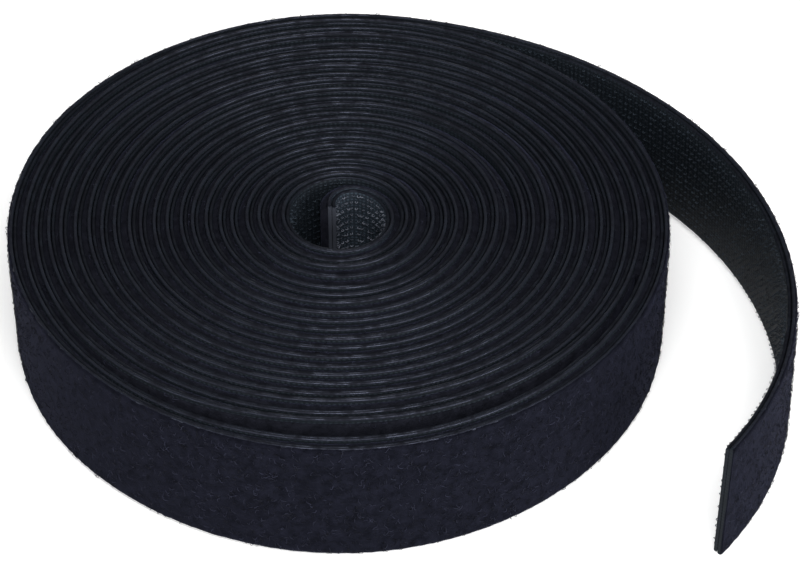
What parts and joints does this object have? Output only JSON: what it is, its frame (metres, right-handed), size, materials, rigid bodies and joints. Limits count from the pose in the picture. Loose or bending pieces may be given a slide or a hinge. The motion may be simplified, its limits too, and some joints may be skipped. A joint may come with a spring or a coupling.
{
  "type": "hook and loop tape roll",
  "caption": "Coreless roll of black back-to-back hook and loop tape lying on its side, loop face outside, with a free end that bends on and off the roll.",
  "frame": {"origin": "middle of the outline seen from above, on the surface that the roll lies on", "axes": "+Z along the axis of the winding, upwards; +X towards the side where the free end stands off; +Y towards the back, where the free end leaves the roll"},
  "size_m": [0.1386, 0.121, 0.025],
  "materials": {
    "loop_pile": "matt black nylon with a brushed loop pile",
    "hook_weave": "black woven nylon with rows of hooks"
  },
  "bodies": {
    "roll": {"wound_loop_layer": "loop_pile", "wound_hook_layer": "hook_weave"},
    "tail_01": {"tail_01_loop_layer": "loop_pile", "tail_01_hook_layer": "hook_weave"},
    "tail_02": {"tail_02_loop_layer": "loop_pile", "tail_02_hook_layer": "hook_weave"},
    "tail_03": {"tail_03_loop_layer": "loop_pile", "tail_03_hook_layer": "hook_weave"},
    "tail_04": {"tail_04_loop_layer": "loop_pile", "tail_04_hook_layer": "hook_weave"},
    "tail_05": {"tail_05_loop_layer": "loop_pile", "tail_05_hook_layer": "hook_weave"},
    "tail_06": {"tail_06_loop_layer": "loop_pile", "tail_06_hook_layer": "hook_weave"},
    "tail_07": {"tail_07_loop_layer": "loop_pile", "tail_07_hook_layer": "hook_weave"},
    "tail_08": {"tail_08_loop_layer": "loop_pile", "tail_08_hook_layer": "hook_weave"},
    "tail_09": {"tail_09_loop_layer": "loop_pile", "tail_09_hook_layer": "hook_weave"},
    "tail_10": {"tail_10_loop_layer": "loop_pile", "tail_10_hook_layer": "hook_weave"}
  },
  "joints": [
    {"name": "tail_peel", "type": "hinge", "parent": "roll", "child": "tail_01", "pos_m": [0.00495, 0.05783, 0.0125], "axis": [0, 0, 1], "range_deg": [-2.6, 14], "stiffness_Nm_per_rad": 0.001},
    {"name": "tail_bend_02", "type": "hinge", "parent": "tail_01", "child": "tail_02", "pos_m": [0.01933, 0.05296, 0.0125], "axis": [0, 0, 1], "range_deg": [-4.94, 26.6], "stiffness_Nm_per_rad": 0.001},
    {"name": "tail_bend_03", "type": "hinge", "parent": "tail_02", "child": "tail_03", "pos_m": [0.03269, 0.04575, 0.0125], "axis": [0, 0, 1], "range_deg": [-4.42, 23.8], "stiffness_Nm_per_rad": 0.001},
    {"name": "tail_bend_04", "type": "hinge", "parent": "tail_03", "child": "tail_04", "pos_m": [0.04457, 0.0363, 0.0125], "axis": [0, 0, 1], "range_deg": [-3.9, 21], "stiffness_Nm_per_rad": 0.001},
    {"name": "tail_bend_05", "type": "hinge", "parent": "tail_04", "child": "tail_05", "pos_m": [0.0545, 0.02482, 0.0125], "axis": [0, 0, 1], "range_deg": [-3.38, 18.2], "stiffness_Nm_per_rad": 0.001},
    {"name": "tail_bend_06", "type": "hinge", "parent": "tail_05", "child": "tail_06", "pos_m": [0.06202, 0.01165, 0.0125], "axis": [0, 0, 1], "range_deg": [-2.86, 15.4], "stiffness_Nm_per_rad": 0.001},
    {"name": "tail_bend_07", "type": "hinge", "parent": "tail_06", "child": "tail_07", "pos_m": [0.06675, -0.00277, 0.0125], "axis": [0, 0, 1], "range_deg": [-2.34, 12.6], "stiffness_Nm_per_rad": 0.001},
    {"name": "tip_curl", "type": "hinge", "parent": "tail_07", "child": "tail_08", "pos_m": [0.06835, -0.01786, 0.0125], "axis": [0, 0, 1], "range_deg": [-1.2, 30], "stiffness_Nm_per_rad": 0.001},
    {"name": "tip_bend_09", "type": "hinge", "parent": "tail_08", "child": "tail_09", "pos_m": [0.06662, -0.03293, 0.0125], "axis": [0, 0, 1], "range_deg": [-1.2, 30], "stiffness_Nm_per_rad": 0.001},
    {"name": "tip_bend_10", "type": "hinge", "parent": "tail_09", "child": "tail_10", "pos_m": [0.06153, -0.04721, 0.0125], "axis": [0, 0, 1], "range_deg": [-1.2, 30], "stiffness_Nm_per_rad": 0.001}
  ],
  "couplings": [
    {"joint": "tail_bend_02", "follows": "tail_peel", "ratio": 1.9},
    {"joint": "tail_bend_03", "follows": "tail_peel", "ratio": 1.7},
    {"joint": "tail_bend_04", "follows": "tail_peel", "ratio": 1.5},
    {"joint": "tail_bend_05", "follows": "tail_peel", "ratio": 1.3},
    {"joint": "tail_bend_06", "follows": "tail_peel", "ratio": 1.1},
    {"joint": "tail_bend_07", "follows": "tail_peel", "ratio": 0.9},
    {"joint": "tip_bend_09", "follows": "tip_curl", "ratio": 1},
    {"joint": "tip_bend_10", "follows": "tip_curl", "ratio": 1}
  ]
}
